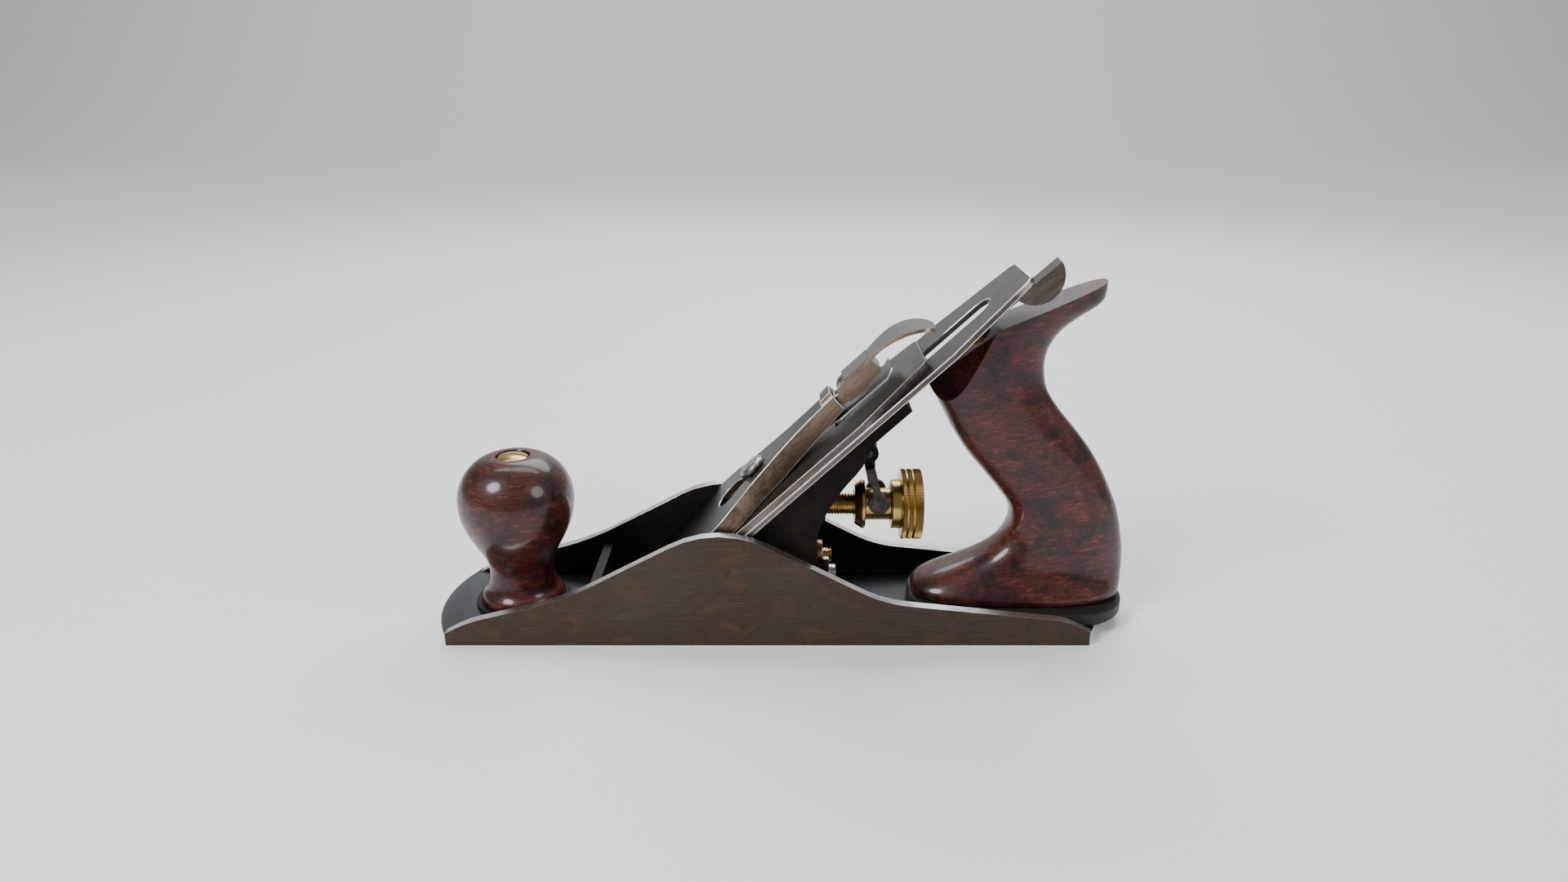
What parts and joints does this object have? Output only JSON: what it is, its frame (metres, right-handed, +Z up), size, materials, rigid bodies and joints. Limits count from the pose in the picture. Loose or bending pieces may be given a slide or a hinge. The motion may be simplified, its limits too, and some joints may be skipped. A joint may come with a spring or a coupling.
{
  "type": "hand plane",
  "caption": "Iron-bodied smoothing plane with wooden knob and rear handle, screw depth adjuster, lateral lever and cam-locked lever cap.",
  "frame": {"origin": "centre of the sole's underside, half way between toe and heel on the centre line", "axes": "+X towards the heel, +Y to the left of someone pushing the plane, +Z up"},
  "size_m": [0.2498, 0.054, 0.1326],
  "materials": {
    "cast_body": "blackened inside, worn brown-grey iron with rust patina outside, ground sole",
    "japanned_iron": "black japanning, slightly speckled",
    "dark_iron": "bare dark iron with brown patina",
    "tool_steel": "brushed grey steel with brown stains",
    "bright_steel": "polished lighter steel, handled",
    "brass": "aged golden brass",
    "rosewood": "dark reddish-brown wood under gloss varnish"
  },
  "bodies": {
    "body": {"body_casting": "cast_body", "front_knob": "rosewood", "knob_rod": "dark_iron", "knob_nut": "brass", "tote": "rosewood", "tote_plate": "japanned_iron", "tote_rod": "dark_iron", "tote_nut": "brass", "frog_screws": "dark_iron", "frog_screw_washers": "dark_iron"},
    "frog": {"frog": "japanned_iron", "frog_clip": "bright_steel", "frog_clip_screws": "bright_steel", "depth_stud": "brass", "y_lever_pin": "tool_steel", "lateral_lever_rivet": "tool_steel", "lever_cap_screw": "bright_steel"},
    "frog_adjuster": {"frog_adjusting_screw": "brass"},
    "wheel_carrier": {"depth_wheel_bush": "brass"},
    "wheel": {"depth_wheel": "brass"},
    "yoke": {"y_lever": "dark_iron"},
    "lateral_adjuster": {"lateral_lever": "dark_iron", "lateral_roller_rivet": "tool_steel"},
    "roller": {"lateral_roller": "tool_steel"},
    "iron_set": {"cutting_iron": "tool_steel", "cap_iron": "tool_steel", "cap_iron_screw": "tool_steel"},
    "lever_cap": {"lever_cap": "tool_steel", "leaf_spring": "tool_steel", "leaf_spring_rivet": "tool_steel", "cam_pin": "tool_steel"},
    "cam": {"cam_lever": "bright_steel"}
  },
  "joints": [
    {"name": "frog_slide", "type": "slide", "parent": "body", "child": "frog", "axis": [1, 0, 0], "range_m": [-0.0015, 0.001]},
    {"name": "frog_screw_turn", "type": "hinge", "parent": "frog", "child": "frog_adjuster", "pos_m": [0.02, 0, 0.0226], "axis": [1, 0, 0], "range_deg": [-512, 342]},
    {"name": "wheel_turn", "type": "hinge", "parent": "wheel_carrier", "child": "wheel", "pos_m": [0.05, 0, 0.0428], "axis": [1, 0, 0], "range_deg": [-487.2, 730.6]},
    {"name": "wheel_travel", "type": "slide", "parent": "frog", "child": "wheel_carrier", "axis": [1, 0, 0], "range_m": [-0.00215, 0.00143]},
    {"name": "yoke_swing", "type": "hinge", "parent": "frog", "child": "yoke", "pos_m": [0.0355, 0, 0.064], "axis": [0, 1, 0], "range_deg": [-4.47, 6.7]},
    {"name": "iron_depth", "type": "slide", "parent": "frog", "child": "iron_set", "axis": [0.7314, 0, 0.682], "range_m": [-0.00103, 0.00154]},
    {"name": "lateral_swing", "type": "hinge", "parent": "frog", "child": "lateral_adjuster", "pos_m": [0.04377, 0, 0.08306], "axis": [-0.682, 0, 0.7314], "range_deg": [-6, 6]},
    {"name": "roller_spin", "type": "hinge", "parent": "lateral_adjuster", "child": "roller", "pos_m": [0.03704, 0, 0.07884], "axis": [-0.682, 0, 0.7314], "continuous": true},
    {"name": "lever_cap_slide", "type": "slide", "parent": "frog", "child": "lever_cap", "axis": [0.7314, 0, 0.682], "range_m": [0, 0.0125]},
    {"name": "cam_turn", "type": "hinge", "parent": "lever_cap", "child": "cam", "pos_m": [0.02762, 0, 0.0866], "axis": [0, -1, 0], "range_deg": [0, 80]}
  ],
  "couplings": [
    {"joint": "frog_screw_turn", "follows": "frog_slide", "rad_per_m": 5927.5},
    {"joint": "wheel_turn", "follows": "iron_depth", "rad_per_m": 8263.1},
    {"joint": "wheel_travel", "follows": "iron_depth", "ratio": -1.394},
    {"joint": "yoke_swing", "follows": "iron_depth", "rad_per_m": 75.762}
  ]
}
